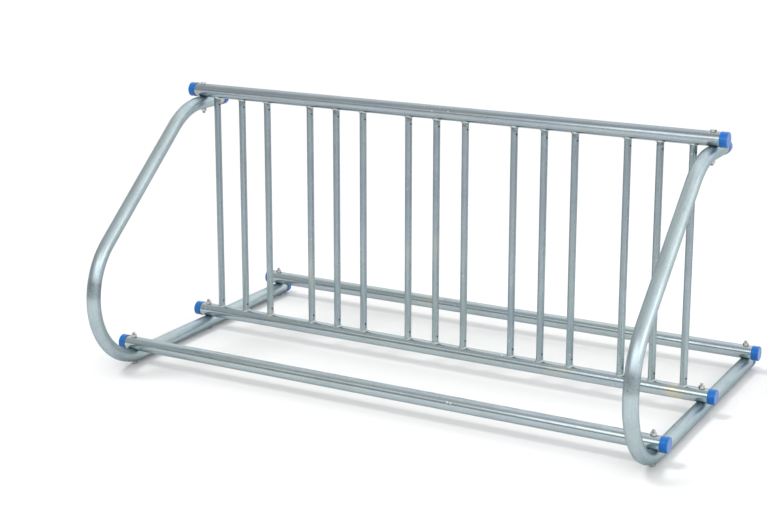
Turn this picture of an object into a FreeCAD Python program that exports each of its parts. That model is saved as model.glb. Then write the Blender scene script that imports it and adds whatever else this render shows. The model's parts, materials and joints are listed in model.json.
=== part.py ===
import FreeCAD, Part
import math
import os

from FreeCAD import Vector

# Floor rack for bicycles, loaded from both sides.  Two bent end frames carry four long
# rails, and the two rails over the middle of the frames hold upright bars in groups.
# A wheel stands in the narrow slot between two bars of a group, on the base rails.
#
# Millimetres, +Z up.  X runs along the rails and the sloping legs are on the -Y side.
# The origin is on the floor, under the middle of the rack's length and depth.

# Tube stock
tube_diameter = 38.1
tube_wall = 2.1
bar_diameter = 19.05
bar_wall = 1.65

# Layout
rail_length = 1606.0
rail_overhang = 38.0        # end frame's plane to the rail's open end
front_rail_reach = 365.0    # grid plane to the axis of the front rail
rear_rail_reach = 392.0     # grid plane to the axis of the rear rail
grid_height = 668.8         # between the axes of the grid's two rails

# End frame
bend_radius = 199.0         # both bends, on the tube's centreline
leg_angle = 40.5            # slope of the straight leg above the floor
bend_setback = 30.0         # front rail's axis back to the end of the straight foot
foot_overhang = 40.0        # rear rail's axis to the foot's open end
stub_reach = 100.0          # grid plane back to the top stub's open end

# Bars of the grid
group_count = 5
bars_per_group = 3
bar_pitch = 86.0
end_bar_gap = 49.0          # end frame's plane to the axis of the nearest bar
vent_diameter = 5.0
vent_offset = 19.0          # from the near side of the rail to the vent's centre
vent_turn = 25.0            # vents face along the rails, turned this far to the front
weld_leg = 2.6

# Bolted crossings
bolt_diameter = 9.525
bolt_length = 85.7          # under the head
bolt_tip_chamfer = 1.0
hole_clearance = 0.4        # on the radius, bolt to drilled hole
thread_clearance = 0.05     # on the radius, bolt to nut
hex_across_flats = 14.3
hex_face_diameter = 13.4    # round face that the corner chamfer leaves
hex_chamfer_angle = 30.0
head_height = 6.0
nut_height = 8.3
saddle_depth = 2.5          # how far a rail is pressed into the tube under it
head_seat_depth = 1.5       # flat pressed into the underside of the foot
nut_seat_depth = 1.2        # flat pressed into a rail's top or a stub's underside
seat_margin = 0.8           # flat's edge beyond the corners of a head or nut

# End caps
cap_wall = 1.3
cap_end_thickness = 2.0
cap_grip = 18.0             # length of tube inside the cap
cap_edge_radius = 1.2
cap_fit = 0.1               # on the radius, tube to cap

# Heights and places that follow.  The grid stands where it centres the rack on Y = 0.
tube_radius = tube_diameter / 2
bore_radius = tube_radius - tube_wall
bar_radius = bar_diameter / 2
foot_height = head_height + tube_radius - head_seat_depth
rail_height = foot_height + tube_diameter - saddle_depth
top_rail_height = rail_height + grid_height
stub_height = foot_height + grid_height
frame_x = rail_length / 2 - rail_overhang
group_width = (bars_per_group - 1) * bar_pitch
group_pitch = (2 * frame_x - 2 * end_bar_gap - group_width) / (group_count - 1)
bend_start_reach = front_rail_reach - bend_setback
foot_reach = rear_rail_reach + foot_overhang
front_extent = bend_start_reach + bend_radius + tube_radius
rear_extent = foot_reach + cap_end_thickness
grid_y = (front_extent - rear_extent) / 2
front_y = grid_y - front_rail_reach
rear_y = grid_y + rear_rail_reach
hex_corner_radius = hex_across_flats / math.sqrt(3)
seat_radius = hex_corner_radius + seat_margin
hole_radius = bolt_diameter / 2 + hole_clearance
base_nut_seat = rail_height + tube_radius - nut_seat_depth
top_head_seat = top_rail_height + tube_radius - nut_seat_depth
stub_nut_seat = stub_height - tube_radius + nut_seat_depth

x_axis = Vector(1, 0, 0)
y_axis = Vector(0, 1, 0)
z_axis = Vector(0, 0, 1)
frame_places = {"left": -frame_x, "right": frame_x}
base_rails = {"front_rail": front_y, "grid_bottom_rail": grid_y, "rear_rail": rear_y}


def save(name, shape):
    """Write one node of the rack."""
    shape.exportStep(os.path.join("parts", name + ".step"))


def save_pair(name, shapes):
    """Write the like pieces at both ends of the rack as one node of two solids."""
    save(name, Part.Compound(shapes))


def upright(radius, x, y, low, high):
    """A vertical cylinder between two heights."""
    return Part.makeCylinder(radius, high - low, Vector(x, y, low), z_axis)


def along_rail(radius, y, z, length=rail_length):
    """A cylinder on a rail's axis, centred on the rack."""
    return Part.makeCylinder(radius, length, Vector(-length / 2, y, z), x_axis)


# ---------------------------------------------------------------- end frames

def frame_stretches():
    """Straights (length, 0) and bends (radius, turn), from the foot's end to the stub's."""
    leg_length = (grid_height - 2 * bend_radius) / math.sin(math.radians(leg_angle))
    stub_start = leg_length * math.cos(math.radians(leg_angle)) - bend_start_reach
    return [
        (foot_reach + bend_start_reach, 0),
        (bend_radius, 180 - leg_angle),
        (leg_length, 0),
        (bend_radius, leg_angle),
        (stub_reach - stub_start, 0),
    ]


def frame_rod(radius, x):
    """A solid rod of the given radius on the end frame's centreline."""
    point = Vector(x, grid_y + foot_reach, foot_height)
    heading = -y_axis
    lengths = []
    for size, turn in frame_stretches():
        if turn == 0:
            lengths.append(Part.makeCylinder(radius, size, point, heading))
            point = point + heading * size
            continue
        centre = point + heading.cross(x_axis) * size
        ring = Part.Wire([Part.makeCircle(radius, point, heading)])
        lengths.append(Part.Face(ring).revolve(centre, -x_axis, turn))
        swing = FreeCAD.Rotation(-x_axis, turn)
        point = centre + swing.multVec(point - centre)
        heading = swing.multVec(heading)
    return lengths[0].multiFuse(lengths[1:]).removeSplitter()


def pressed_frame(x, inset):
    """The rod inside the frame's skin by inset, pressed in under each rail, head and nut."""
    rod = frame_rod(tube_radius - inset, x)
    for y in base_rails.values():
        rod = rod.cut(along_rail(tube_radius + inset, y, rail_height))
        rod = rod.cut(upright(seat_radius + inset, x, y, -tube_radius, head_height + inset))
    rod = rod.cut(along_rail(tube_radius + inset, grid_y, top_rail_height))
    under_stub = stub_nut_seat - tube_radius
    return rod.cut(upright(seat_radius + inset, x, grid_y, under_stub, stub_nut_seat + inset))


def end_frame(x):
    """One bent tube: foot on the floor, sloping leg and the short stub at the top."""
    frame = pressed_frame(x, 0).cut(pressed_frame(x, tube_wall))
    for y in base_rails.values():
        frame = frame.cut(upright(hole_radius, x, y, 0, rail_height))
    return frame.cut(upright(hole_radius, x, grid_y, stub_nut_seat - tube_radius, top_rail_height))


# --------------------------------------------------------------------- rails

def pressed_rail(y, z, inset):
    """The rod inside a rail's skin by inset, with a flat pressed in at each bolt."""
    rod = along_rail(tube_radius - inset, y, z)
    seat = z + tube_radius - nut_seat_depth
    for x in frame_places.values():
        rod = rod.cut(upright(seat_radius + inset, x, y, seat - inset, seat + tube_radius))
    return rod


def rail(y, z):
    """A straight tube with an upright bolt hole over each end frame."""
    tube = pressed_rail(y, z, 0).cut(pressed_rail(y, z, tube_wall))
    for x in frame_places.values():
        tube = tube.cut(upright(hole_radius, x, y, z - tube_diameter, z + tube_diameter))
    return tube


# ---------------------------------------------------------------- grid of bars

def bar_places():
    """Where the bars stand along the rack."""
    middle_group = (group_count - 1) / 2
    middle_bar = (bars_per_group - 1) / 2
    return [
        (group - middle_group) * group_pitch + (bar - middle_bar) * bar_pitch
        for group in range(group_count)
        for bar in range(bars_per_group)
    ]


def grid_bar(x):
    """An upright tube, coped to sit round both rails, with a vent hole near each end."""
    bar = upright(bar_radius, x, grid_y, rail_height, top_rail_height)
    bar = bar.cut(upright(bar_radius - bar_wall, x, grid_y, rail_height, top_rail_height))
    for z in [rail_height, top_rail_height]:
        bar = bar.cut(along_rail(tube_radius, grid_y, z))
    vent_height = tube_radius + vent_offset
    facing = FreeCAD.Rotation(z_axis, -vent_turn).multVec(x_axis)
    for z in [rail_height + vent_height, top_rail_height - vent_height]:
        vent = Part.makeCylinder(vent_diameter / 2, bar_diameter, Vector(x, grid_y, z), facing)
        bar = bar.cut(vent)
    return bar


def weld_bead(x, rail_z, side):
    """The fillet weld round a bar's end; side is 1 above its rail and -1 below."""
    outer = bar_radius + weld_leg
    crown = rail_z + side * tube_radius
    drop = tube_radius - math.sqrt(tube_radius ** 2 - outer ** 2)
    corners = [
        Vector(x + bar_radius, grid_y, crown + side * weld_leg),
        Vector(x + outer, grid_y, crown),
        Vector(x + outer, grid_y, crown - side * drop),
        Vector(x + bar_radius, grid_y, crown - side * drop),
    ]
    section = Part.Face(Part.makePolygon(corners + corners[:1]))
    ring = section.revolve(Vector(x, grid_y, 0), z_axis, 360)
    return ring.cut(along_rail(tube_radius, grid_y, rail_z))


# ------------------------------------------------------------------- fasteners

def hexagon(x, y, low, high, chamfered_end):
    """A hexagonal prism with the corners of one end (1 top, -1 bottom) turned off."""
    corners = [
        Vector(x + hex_corner_radius * math.cos(math.radians(60 * i)),
               y + hex_corner_radius * math.sin(math.radians(60 * i)), low)
        for i in range(7)
    ]
    thick = high - low
    prism = Part.Face(Part.makePolygon(corners)).extrude(z_axis * thick)
    tip_radius = hex_face_diameter / 2
    base_radius = tip_radius + thick / math.tan(math.radians(hex_chamfer_angle))
    base = Vector(x, y, low if chamfered_end > 0 else high)
    return prism.common(Part.makeCone(base_radius, tip_radius, thick, base, z_axis * chamfered_end))


def hex_bolt(x, y, head_seat, way):
    """A hex bolt with its head's bearing face at head_seat, pointing up (1) or down (-1)."""
    radius = bolt_diameter / 2
    shank = Part.makeCylinder(radius, bolt_length, Vector(x, y, head_seat), z_axis * way)
    tip = [edge for edge in shank.Edges if abs(edge.CenterOfMass.z - head_seat) > bolt_length / 2
           and isinstance(edge.Curve, Part.Circle)]
    shank = shank.makeChamfer(bolt_tip_chamfer, tip)
    far = head_seat - way * head_height
    head = hexagon(x, y, min(far, head_seat), max(far, head_seat), -way)
    return head.fuse(shank)


def hex_nut(x, y, seat, way):
    """A hex nut that bears on seat, lying above (1) or below it (-1)."""
    low = min(seat, seat + way * nut_height)
    high = low + nut_height
    nut = hexagon(x, y, low, high, way)
    return nut.cut(upright(bolt_diameter / 2 + thread_clearance, x, y, low, high))


# -------------------------------------------------------------------- end caps

def end_cap(tube_end, outward):
    """A push-on cap over the end of a tube, closed and rounded at its outer face."""
    inner = tube_radius + cap_fit
    outer = inner + cap_wall
    length = cap_grip + cap_end_thickness
    cup = Part.makeCylinder(outer, length, tube_end - outward * cap_grip, outward)
    rim = [edge for edge in cup.Edges
           if isinstance(edge.Curve, Part.Circle)
           and (edge.CenterOfMass - tube_end).dot(outward) > 0]
    cup = cup.makeFillet(cap_edge_radius, rim)
    return cup.cut(Part.makeCylinder(inner, cap_grip, tube_end - outward * cap_grip, outward))


# ------------------------------------------------------------------- the rack

os.makedirs("parts", exist_ok=True)

for side, x in frame_places.items():
    save("end_frame_" + side, end_frame(x))

rails = {name: (y, rail_height) for name, y in base_rails.items()}
rails["grid_top_rail"] = (grid_y, top_rail_height)
for name, (y, z) in rails.items():
    save(name, rail(y, z))
    rail_ends = [Vector(-rail_length / 2, y, z), Vector(rail_length / 2, y, z)]
    save_pair(name + "_caps", [end_cap(rail_ends[0], -x_axis), end_cap(rail_ends[1], x_axis)])

for name, y in base_rails.items():
    save_pair(name + "_bolts", [hex_bolt(x, y, head_height, 1) for x in frame_places.values()])
    save_pair(name + "_nuts", [hex_nut(x, y, base_nut_seat, 1) for x in frame_places.values()])
save_pair("grid_top_rail_bolts", [hex_bolt(x, grid_y, top_head_seat, -1) for x in frame_places.values()])
save_pair("grid_top_rail_nuts", [hex_nut(x, grid_y, stub_nut_seat, -1) for x in frame_places.values()])

frame_ends = {"foot_caps": (foot_reach, foot_height), "stub_caps": (stub_reach, stub_height)}
for name, (reach, z) in frame_ends.items():
    save_pair(name, [end_cap(Vector(x, grid_y + reach, z), y_axis) for x in frame_places.values()])

for number, x in enumerate(bar_places(), start=1):
    save("grid_bar_%02d" % number, grid_bar(x))
save("bottom_weld_beads", Part.Compound([weld_bead(x, rail_height, 1) for x in bar_places()]))
save("top_weld_beads", Part.Compound([weld_bead(x, top_rail_height, -1) for x in bar_places()]))
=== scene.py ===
"""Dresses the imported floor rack: fine bent tubes, rippled welds, threaded bolts and soft caps.

Everything is in metres in the frame's own axes: X along the rails, -Y towards the sloping
legs, Z up from the floor.  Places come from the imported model's boxes.
"""
import json
import logging
import math
from dataclasses import dataclass
from enum import Enum
from functools import cache

import bmesh
import bpy
import numpy as np
from mathutils import Euler, Matrix, Vector

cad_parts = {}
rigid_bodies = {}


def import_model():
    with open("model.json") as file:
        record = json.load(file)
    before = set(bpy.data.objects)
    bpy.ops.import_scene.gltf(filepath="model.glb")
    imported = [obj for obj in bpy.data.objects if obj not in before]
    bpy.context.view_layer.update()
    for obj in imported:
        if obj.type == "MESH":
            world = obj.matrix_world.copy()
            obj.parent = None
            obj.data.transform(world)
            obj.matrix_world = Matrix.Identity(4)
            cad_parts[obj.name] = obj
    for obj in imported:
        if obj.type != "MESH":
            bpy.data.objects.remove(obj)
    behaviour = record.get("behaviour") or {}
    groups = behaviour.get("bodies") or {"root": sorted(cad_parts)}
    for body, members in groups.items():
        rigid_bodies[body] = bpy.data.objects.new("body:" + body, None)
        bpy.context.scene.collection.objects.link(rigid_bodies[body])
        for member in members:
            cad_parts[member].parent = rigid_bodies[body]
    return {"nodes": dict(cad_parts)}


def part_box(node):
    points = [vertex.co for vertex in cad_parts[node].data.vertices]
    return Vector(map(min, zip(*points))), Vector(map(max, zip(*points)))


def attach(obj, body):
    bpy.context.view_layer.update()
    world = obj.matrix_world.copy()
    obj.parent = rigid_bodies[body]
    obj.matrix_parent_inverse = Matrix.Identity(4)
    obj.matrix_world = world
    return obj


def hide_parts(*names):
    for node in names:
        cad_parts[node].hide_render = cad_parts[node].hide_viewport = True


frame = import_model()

LOG = logging.getLogger("rack")
MM = 0.001
BODY = "root"
Colour = Place = tuple[float, float, float]
Span = tuple[float, float]
Socket = bpy.types.NodeSocket
Tree = bpy.types.NodeTree
Material = bpy.types.Material
Mesh = bpy.types.Mesh
Thing = bpy.types.Object


# ------------------------------------------------------------------ node helpers

class Nodes:
    """Adds nodes to one tree and links them as they are added."""

    def __init__(self, tree: Tree) -> None:
        """Keeps the tree that the nodes go into."""
        self.tree = tree

    def add(self, kind: str, inputs: dict | None = None, **settings) -> bpy.types.Node:
        """Adds one node.

        Args:
            kind: the node's type name.
            inputs: socket name or number to a value, or to the socket that feeds it.
            settings: attributes of the node, set before its inputs.

        Returns:
            The new node.
        """
        node = self.tree.nodes.new(kind)
        for name, value in settings.items():
            setattr(node, name, value)
        for key, value in (inputs or {}).items():
            self.feed(node.inputs[key], value)
        return node

    def first(self, kind: str, inputs: dict | None = None, **settings) -> Socket:
        """Adds one node as add() does, and gives its first output."""
        return self.add(kind, inputs, **settings).outputs[0]

    def feed(self, socket: Socket, value: object) -> None:
        """Links a socket to an output, or sets its own value.

        Args:
            socket: the input to feed.
            value: an output socket, or a plain value.
        """
        if isinstance(value, Socket):
            self.tree.links.new(value, socket)
        else:
            socket.default_value = value

    def math(self, operation: str, a: object, b: object = 0.0, c: object = 0.0) -> Socket:
        """Adds a Math node.

        Args:
            operation: its operation.
            a: first number or socket.
            b: second number or socket.
            c: third, for the operations that take three.

        Returns:
            The result's socket.
        """
        return self.first("ShaderNodeMath", {0: a, 1: b, 2: c}, operation=operation)

    def span(self, value: object, low: float, high: float,
             to_low: object = 0.0, to_high: object = 1.0) -> Socket:
        """Adds a smooth, clamped Map Range.

        Args:
            value: the number to map.
            low: where it starts.
            high: where it ends.
            to_low: result at and before low.
            to_high: result at and after high.

        Returns:
            The result's socket.
        """
        inputs = {"Value": value, "From Min": low, "From Max": high,
                  "To Min": to_low, "To Max": to_high}
        return self.first("ShaderNodeMapRange", inputs, interpolation_type="SMOOTHSTEP")

    def mix(self, share: object, first: object, second: object,
            blend: str = "MIX") -> Socket:
        """Adds a colour Mix node.

        Args:
            share: how much of the second.
            first: a colour of four numbers, or a socket.
            second: the same.
            blend: the blend type.

        Returns:
            The result's socket.
        """
        node = self.add("ShaderNodeMix", {0: share, 6: first, 7: second},
                        data_type="RGBA", blend_type=blend)
        return node.outputs[2]

    def noise(self, vector: object, scale: float, detail: float = 3.0,
              rough: float = 0.55) -> Socket:
        """Adds a Noise Texture.

        Args:
            vector: the coordinates' socket.
            scale: features to the metre.
            detail: octaves.
            rough: strength of the finer octaves.

        Returns:
            The noise value's socket, centred on one half.
        """
        inputs = {"Vector": vector, "Scale": scale, "Detail": detail, "Roughness": rough}
        return self.first("ShaderNodeTexNoise", inputs)

    def stretched(self, vector: object, factors: Place) -> Socket:
        """Scales coordinates by a factor for each axis."""
        return self.first("ShaderNodeVectorMath", {0: vector, 1: factors}, operation="MULTIPLY")

    def scaled(self, vector: object, factor: object) -> Socket:
        """Scales a vector or a colour by one factor."""
        return self.first("ShaderNodeVectorMath", {0: vector, "Scale": factor}, operation="SCALE")

    def place(self) -> Socket:
        """Object coordinates, in metres."""
        return self.add("ShaderNodeTexCoord").outputs["Object"]

    def parts(self, vector: object) -> list[Socket]:
        """The three numbers of a vector, as sockets."""
        return list(self.add("ShaderNodeSeparateXYZ", {0: vector}).outputs)

    def apart(self, value: object, marks: tuple[float, ...]) -> list[Socket]:
        """How far a number is from each of some marks."""
        return [self.math("ABSOLUTE", self.math("SUBTRACT", value, mark)) for mark in marks]

    def away(self, place: object, spots: tuple[Place, ...]) -> list[Socket]:
        """How far a place is from each of some spots."""
        return [self.add("ShaderNodeVectorMath", {0: place, 1: spot}, operation="DISTANCE").outputs["Value"]
                for spot in spots]

    def near(self, distances: list[Socket], reach: float, core: float) -> object:
        """Marks what lies close to anything.

        Args:
            distances: sockets of distances.
            reach: the distance past which nothing is marked.
            core: the distance within which all is marked.

        Returns:
            A mask's socket, or nothing for no distances.
        """
        mask: object = 0.0
        for distance in distances:
            mask = self.math("MAXIMUM", mask, self.span(distance, reach, core))
        return mask

    def named(self, name: str, kind: str = "FLOAT_VECTOR") -> Socket:
        """Reads a named attribute of a geometry."""
        return self.first("GeometryNodeInputNamedAttribute", {"Name": name}, data_type=kind)

    def stored(self, geometry: object, name: str, value: object,
               kind: str = "FLOAT_VECTOR") -> Socket:
        """Stores a named attribute on a geometry's points.

        Args:
            geometry: the geometry's socket.
            name: the attribute's name.
            value: what is stored.
            kind: its data type.

        Returns:
            The geometry's new socket.
        """
        return self.first("GeometryNodeStoreNamedAttribute",
                          {"Geometry": geometry, "Name": name, "Value": value},
                          data_type=kind, domain="POINT")

    def on_points(self, source: bpy.types.Node, piece: object) -> Socket:
        """Sets a piece on every point of the group's mesh, turned by the point's attribute turn.

        Args:
            source: the group's input node.
            piece: the socket of what is set.

        Returns:
            The instances' socket.
        """
        points = self.first("GeometryNodeMeshToPoints", {"Mesh": source.outputs["Geometry"]})
        turned = self.first("FunctionNodeEulerToRotation", {0: self.named("turn")})
        return self.first("GeometryNodeInstanceOnPoints",
                          {"Points": points, "Instance": piece, "Rotation": turned})

    def finish(self, geometry: object, source: bpy.types.Node, result: bpy.types.Node) -> None:
        """Gives a geometry the group's material and sends it out.

        Args:
            geometry: the geometry's socket.
            source: the group's input node.
            result: the group's output node.
        """
        inputs = {"Geometry": geometry, "Material": source.outputs["Material"]}
        self.feed(result.inputs["Geometry"], self.first("GeometryNodeSetMaterial", inputs))


def new_group(name: str, kind: str, inputs: dict[str, str], outputs: dict[str, str]) -> tuple:
    """Starts a node group with named sockets.

    Args:
        name: the group's name.
        kind: Shader or Geometry.
        inputs: input name to the kind of its socket.
        outputs: output name to the kind of its socket.

    Returns:
        The tree, its Nodes helper, its input node and its output node.
    """
    tree = bpy.data.node_groups.new(name, kind + "NodeTree")
    for side, sockets in (("INPUT", inputs), ("OUTPUT", outputs)):
        for label, socket_kind in sockets.items():
            tree.interface.new_socket(label, in_out=side, socket_type="NodeSocket" + socket_kind)
    nodes = Nodes(tree)
    return tree, nodes, nodes.add("NodeGroupInput"), nodes.add("NodeGroupOutput")


def rgba(colour: Colour) -> tuple[float, float, float, float]:
    """A colour of three numbers as the four that a socket takes."""
    return (*colour, 1.0)


# ------------------------------------------------------------- shared shader groups

SKIN_OUTPUTS = {"Color": "Color", "Roughness": "Float", "Height": "Float"}


@dataclass(frozen=True)
class ZincPattern:
    """What all the zinc shares: streaks, clouds, grain, dashes, flecks, chips and spangle."""

    streak_stretch: Place = (3.0, 150.0, 150.0)
    streak_edge: Span = (0.38, 0.66)
    cloud_stretch: Place = (0.5, 1.0, 1.0)
    cloud_scale: float = 26.0
    cloud_edge: Span = (0.36, 0.70)
    grain_stretch: Place = (0.35, 1.0, 1.0)
    grain_scale: float = 1100.0
    dash_stretch: Place = (16.0, 240.0, 240.0)
    dash_edge: Span = (0.64, 0.70)
    dash_share: float = 0.45
    dash_grey: Colour = (0.20, 0.24, 0.26)
    fleck_scale: float = 300.0
    fleck_edge: Span = (0.69, 0.74)
    fleck_share: float = 0.22
    chip_scale: float = 110.0
    chip_edge: Span = (0.765, 0.785)
    chip_share: float = 0.55
    pale: Colour = (0.80, 0.84, 0.84)
    spangle_scale: float = 330.0
    spangle_edge: Span = (0.36, 0.64)
    spangle_swing: float = 0.30
    cool_scale: float = 3.2
    cool_edge: Span = (0.42, 0.60)
    cool_share: float = 0.55
    cool_cast: Colour = (0.96, 0.98, 1.05)
    blush_stretch: Place = (0.7, 1.0, 1.0)
    blush_scale: float = 6.5
    blush_edge: Span = (0.60, 0.78)
    blush_share: float = 0.30
    worn_rougher: float = 0.14
    fresh_smoother: float = -0.04
    grain_height: float = 0.25
    streak_height: float = 0.22

    def build(self) -> Tree:
        """Builds the shader group.

        Returns:
            The group.  Its vector runs along the tube on its first axis.
        """
        tree, nodes, source, result = new_group(
            "zinc_skin", "Shader",
            {"Vector": "Vector", "Tint": "Color", "Tarnish": "Color", "Blush": "Color",
             "Roughness": "Float", "Streaks": "Float", "Clouds": "Float", "Spangle": "Float"},
            SKIN_OUTPUTS)
        given = source.outputs
        vector = given["Vector"]
        streaks = nodes.noise(nodes.stretched(vector, self.streak_stretch), 1.0, 4.0, 0.6)
        clouds = nodes.noise(nodes.stretched(vector, self.cloud_stretch), self.cloud_scale, 4.0, 0.6)
        grain = nodes.noise(nodes.stretched(vector, self.grain_stretch), self.grain_scale, 2.0)
        flecks = nodes.span(nodes.noise(vector, self.fleck_scale, 1.0), *self.fleck_edge)
        dashes = nodes.noise(nodes.stretched(vector, self.dash_stretch), 1.0, 2.0)
        dashes = nodes.span(dashes, *self.dash_edge)
        chips = nodes.span(nodes.noise(vector, self.chip_scale, 1.0), *self.chip_edge)
        spangle = nodes.noise(vector, self.spangle_scale, 3.0, 0.7)
        spangle = nodes.span(spangle, *self.spangle_edge, -1.0, 1.0)
        cool = nodes.span(nodes.noise(vector, self.cool_scale, 2.0), *self.cool_edge)
        blush = nodes.noise(nodes.stretched(vector, self.blush_stretch), self.blush_scale, 2.0)
        worn = nodes.math("MAXIMUM",
                          nodes.math("MULTIPLY", nodes.span(streaks, *self.streak_edge), given["Streaks"]),
                          nodes.math("MULTIPLY", nodes.span(clouds, *self.cloud_edge), given["Clouds"]))
        colour = nodes.mix(worn, given["Tint"], given["Tarnish"])
        blushed = nodes.math("MULTIPLY", nodes.span(blush, *self.blush_edge), self.blush_share)
        colour = nodes.mix(blushed, colour, given["Blush"])
        colour = nodes.mix(nodes.math("MULTIPLY", cool, self.cool_share), colour,
                           rgba(self.cool_cast), "MULTIPLY")
        glints = nodes.math("MULTIPLY", spangle, given["Spangle"])
        colour = nodes.scaled(colour, nodes.math("MULTIPLY_ADD", glints, self.spangle_swing, 1.0))
        colour = nodes.mix(nodes.math("MULTIPLY", dashes, self.dash_share), colour, rgba(self.dash_grey))
        pale = nodes.math("MAXIMUM", nodes.math("MULTIPLY", flecks, self.fleck_share),
                          nodes.math("MULTIPLY", chips, self.chip_share))
        colour = nodes.mix(pale, colour, rgba(self.pale))
        rough = nodes.math("MULTIPLY_ADD", worn, self.worn_rougher, self.fresh_smoother)
        height = nodes.math("ADD", nodes.math("MULTIPLY", grain, self.grain_height), clouds)
        height = nodes.math("ADD", height, nodes.math("MULTIPLY", streaks, self.streak_height))
        nodes.feed(result.inputs["Color"], colour)
        nodes.feed(result.inputs["Roughness"], nodes.math("ADD", rough, given["Roughness"]))
        nodes.feed(result.inputs["Height"], height)
        return tree


@dataclass(frozen=True)
class HandlingPattern:
    """What all the small parts share: scuffs, a thin film of dust and a fine texture."""

    film_scale: float = 60.0
    film_edge: Span = (0.40, 0.75)
    film_share: float = 0.6
    film_rougher: float = 0.25
    scuff_stretch: Place = (1.0, 1.7, 0.5)
    scuff_scale: float = 420.0
    scuff_edge: Span = (0.58, 0.72)
    scuff_height: float = 0.6
    grain_scale: float = 1600.0

    def build(self) -> Tree:
        """Builds the shader group.

        Returns:
            The group, which reads Object coordinates.
        """
        tree, nodes, source, result = new_group(
            "handling", "Shader",
            {"Color": "Color", "Scuffed": "Color", "Scale": "Float", "Amount": "Float",
             "Roughness": "Float"}, SKIN_OUTPUTS)
        given = source.outputs
        spread = nodes.scaled(nodes.place(), given["Scale"])
        film = nodes.noise(spread, self.film_scale, 4.0, 0.65)
        scuffs = nodes.noise(nodes.stretched(spread, self.scuff_stretch), self.scuff_scale, 3.0, 0.7)
        grain = nodes.noise(spread, self.grain_scale, 2.0)
        marks = nodes.math("MULTIPLY", nodes.span(scuffs, *self.scuff_edge), given["Amount"])
        haze = nodes.math("MULTIPLY", nodes.span(film, *self.film_edge), given["Amount"])
        worn = nodes.math("MAXIMUM", marks, nodes.math("MULTIPLY", haze, self.film_share))
        rough = nodes.math("ADD", given["Roughness"], nodes.math("MULTIPLY", haze, self.film_rougher))
        height = nodes.math("ADD", grain, nodes.math("MULTIPLY", scuffs, self.scuff_height))
        nodes.feed(result.inputs["Color"], nodes.mix(worn, given["Color"], given["Scuffed"]))
        nodes.feed(result.inputs["Roughness"], rough)
        nodes.feed(result.inputs["Height"], height)
        return tree


# ----------------------------------------------------------------------- finishes

class Lie(Enum):
    """Which way a tube's length runs, for patterns that follow it."""

    ALONG_X = "x"
    ALONG_Z = "z"
    ALONG_PATH = "lie"


def start_material(name: str) -> tuple[Material, Nodes, bpy.types.Node]:
    """Starts a node material.

    Args:
        name: the material's name.

    Returns:
        The material, its Nodes helper and its Principled BSDF.
    """
    material = bpy.data.materials.new(name)
    material.use_nodes = True
    return material, Nodes(material.node_tree), material.node_tree.nodes["Principled BSDF"]


def finish_material(nodes: Nodes, shader: bpy.types.Node, looks: dict, height: object,
                    depth: float) -> None:
    """Feeds a shader, and its normal from a height.

    Args:
        nodes: the material's helper.
        shader: its Principled BSDF.
        looks: the shader's input names to values or sockets.
        height: the socket of the height.
        depth: how deep the height goes, in metres.
    """
    bump = nodes.first("ShaderNodeBump", {"Strength": 1.0, "Distance": depth, "Height": height})
    for label, value in {**looks, "Normal": bump}.items():
        nodes.feed(shader.inputs[label], value)


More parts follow.
